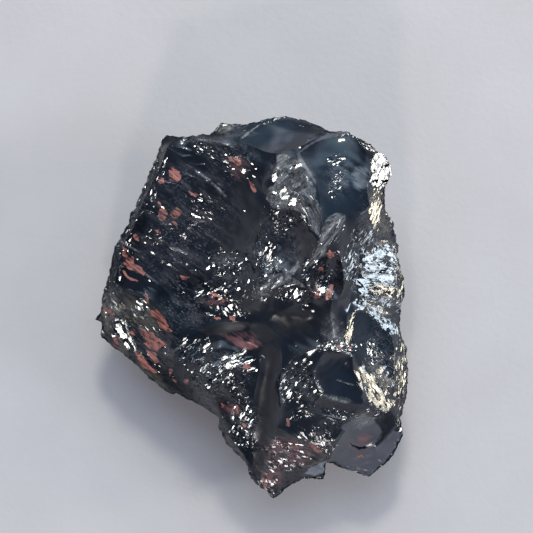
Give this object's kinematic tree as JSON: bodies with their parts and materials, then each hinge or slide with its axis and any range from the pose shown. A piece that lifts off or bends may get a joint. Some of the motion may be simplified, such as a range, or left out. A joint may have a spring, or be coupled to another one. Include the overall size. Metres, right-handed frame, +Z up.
{
  "type": "shungite nugget",
  "caption": "Rough broken nugget of glassy black stone with shell-shaped scoops, ridges and hackly patches, resting on its flat foot.",
  "frame": {"origin": "middle of the stone's box, at the level of its foot", "axes": "+X to the right and +Y to the back of the stone as it lies, +Y along its longest side, +Z up from the foot"},
  "size_m": [0.0502, 0.0612, 0.0232],
  "materials": {
    "stone": "gloss"
  },
  "bodies": {
    "root": {"shungite_nugget": "stone"}
  },
  "joints": []
}
